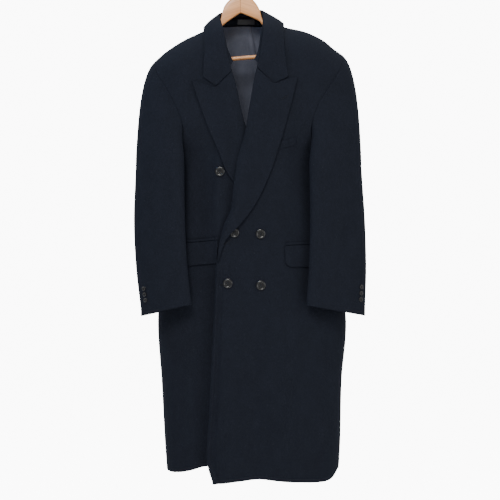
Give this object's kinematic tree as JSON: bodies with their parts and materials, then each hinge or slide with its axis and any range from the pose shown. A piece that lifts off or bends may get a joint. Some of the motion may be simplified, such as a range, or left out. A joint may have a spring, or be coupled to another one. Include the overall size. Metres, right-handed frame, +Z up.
{
  "type": "overcoat on hanger",
  "caption": "Long double-breasted overcoat with peak lapels and flap pockets, hung open-necked on a wooden hanger with a trouser bar and wire hook",
  "frame": {"origin": "inner top of the hook's bend, where the rail carries it", "axes": "+Z up, +X to the viewer's right as the coat's front is seen, -Y out of the coat's front"},
  "size_m": [0.6152, 0.2563, 1.3976],
  "materials": {
    "wool": "near-black navy wool coating with a short soft nap",
    "lining": "dark grey satin lining",
    "label": "blank woven label",
    "buttons": "polished black four-hole buttons",
    "hanger_wood": "clear-lacquered light hardwood",
    "hook_wire": "plated steel wire"
  },
  "bodies": {
    "root": {"front_right": "wool", "front_left": "wool", "back_right": "wool", "back_left": "wool", "top_sleeve_right": "wool", "under_sleeve_right": "wool", "top_sleeve_left": "wool", "under_sleeve_left": "wool", "lapel_right": "wool", "lapel_left": "wool", "collar_fall": "wool", "collar_stand": "wool", "flap_right": "wool", "flap_left": "wool", "jet_right": "wool", "jet_left": "wool", "breast_welt": "wool", "neck_facing": "wool", "back_lining": "lining", "neck_label": "label", "button_underlap": "buttons", "button_upper_inner": "buttons", "button_upper_outer": "buttons", "button_lower_inner": "buttons", "button_lower_outer": "buttons", "cuff_button_right_1": "buttons", "cuff_button_right_2": "buttons", "cuff_button_right_3": "buttons", "cuff_button_left_1": "buttons", "cuff_button_left_2": "buttons", "cuff_button_left_3": "buttons", "hanger_arms": "hanger_wood", "trouser_bar": "hanger_wood", "hook": "hook_wire"}
  },
  "joints": []
}
